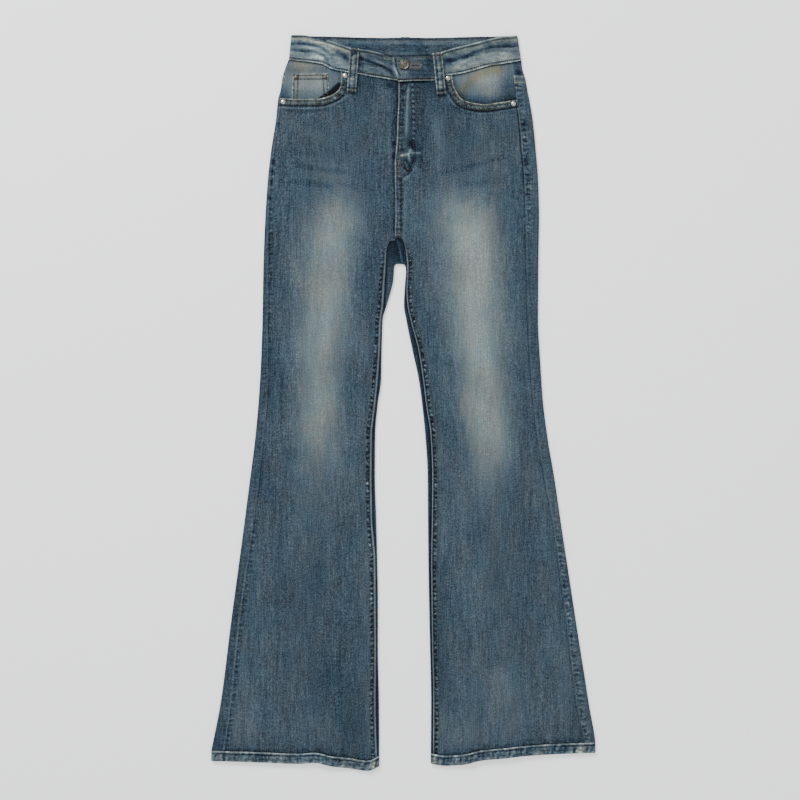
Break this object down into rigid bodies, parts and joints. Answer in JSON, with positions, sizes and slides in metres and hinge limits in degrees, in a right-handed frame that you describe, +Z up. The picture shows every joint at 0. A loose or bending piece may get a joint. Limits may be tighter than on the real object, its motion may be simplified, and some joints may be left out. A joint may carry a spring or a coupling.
{
  "type": "bootcut jeans laid flat",
  "caption": "High-waisted washed blue bootcut jeans lying flat, front up, with five pockets, belt loops and a buttoned waistband.",
  "frame": {"origin": "middle of the garment's outline on the surface it lies on", "axes": "+Z up out of the front of the garment, +Y from the hems to the waistband, +X towards the wearer's left side"},
  "size_m": [0.5665, 1.0828, 0.013],
  "materials": {
    "denim": "washed cotton denim, matt",
    "denim_dark": "washed cotton denim in two layers, matt",
    "denim_pale": "paler washed cotton denim, matt",
    "thread": "tan cotton sewing thread",
    "aged_brass": "aged brass, satin",
    "nickel": "worn nickel, satin"
  },
  "bodies": {
    "root": {"back_left": "denim", "back_pocket_left": "denim", "back_pocket_right": "denim", "back_right": "denim", "belt_loop_back_centre": "denim", "belt_loop_back_left": "denim", "belt_loop_back_right": "denim", "belt_loop_front_left": "denim_pale", "belt_loop_front_right": "denim_pale", "button": "aged_brass", "coin_pocket": "denim_pale", "front_left": "denim", "front_right": "denim", "hem_left": "denim", "hem_right": "denim", "pocket_bearer_left": "denim_pale", "pocket_bearer_right": "denim_pale", "rivet_coin_pocket_front": "aged_brass", "rivet_coin_pocket_side": "aged_brass", "rivet_left_pocket_front": "nickel", "rivet_left_pocket_side": "nickel", "rivet_right_pocket_front": "nickel", "rivet_right_pocket_side": "nickel", "waistband": "denim_dark", "yoke_left": "denim", "yoke_right": "denim"}
  },
  "joints": []
}
